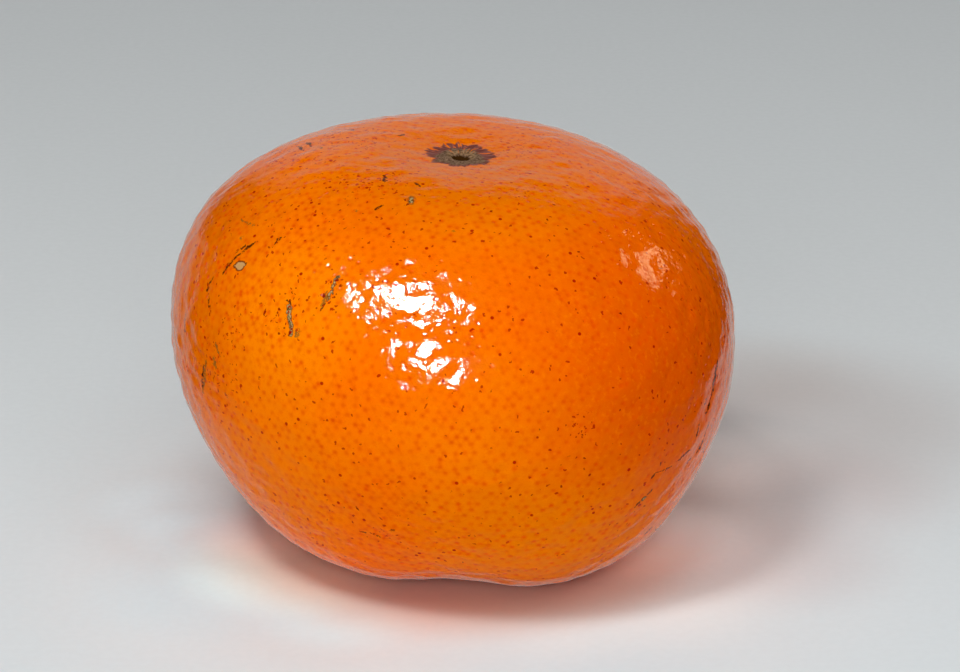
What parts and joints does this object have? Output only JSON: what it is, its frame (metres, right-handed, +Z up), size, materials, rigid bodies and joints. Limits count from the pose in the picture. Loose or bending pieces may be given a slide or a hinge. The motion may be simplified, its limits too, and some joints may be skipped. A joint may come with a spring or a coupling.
{
  "type": "mandarin",
  "caption": "Whole ripe mandarin with pitted orange peel, a dry flower scar on top and a lobed stem end that it stands on.",
  "frame": {"origin": "on the ground, under the middle of the fruit's outline", "axes": "+Z up along the fruit's core, from the stem end to the flower end; the pictured side faces -Y"},
  "size_m": [0.0644, 0.0648, 0.0471],
  "materials": {
    "peel": "glossy, pitted"
  },
  "bodies": {
    "root": {"mandarin": "peel"}
  },
  "joints": []
}
